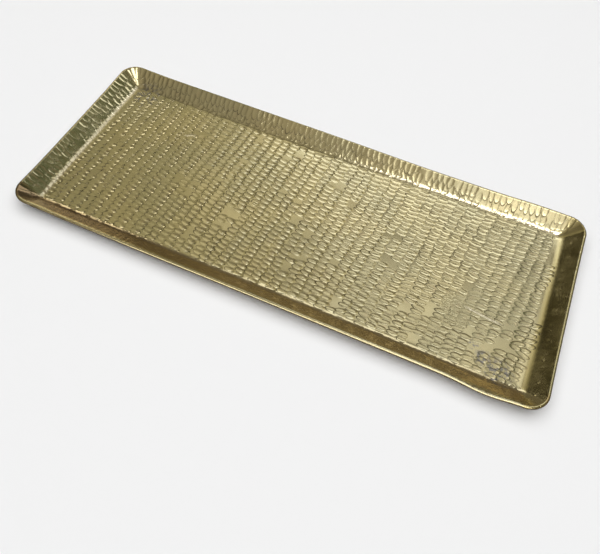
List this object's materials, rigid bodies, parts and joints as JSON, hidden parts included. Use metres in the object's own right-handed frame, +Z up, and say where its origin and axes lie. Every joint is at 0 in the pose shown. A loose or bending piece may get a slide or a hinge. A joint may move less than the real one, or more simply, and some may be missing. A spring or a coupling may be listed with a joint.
{
  "type": "hammered brass tray",
  "caption": "Long shallow rectangular serving tray of hammered brass, with low flared walls, rounded corners and a wired edge.",
  "frame": {"origin": "centre of the tray's underside, where it rests on a table", "axes": "+X along the tray's length, +Y across it, +Z up out of the dish"},
  "size_m": [0.508, 0.209, 0.0141],
  "materials": {
    "brass": "hand hammered, satin, lightly tarnished",
    "steel_wire": "drawn, plain"
  },
  "bodies": {
    "root": {"pan": "brass", "rim_wire": "steel_wire"}
  },
  "joints": []
}
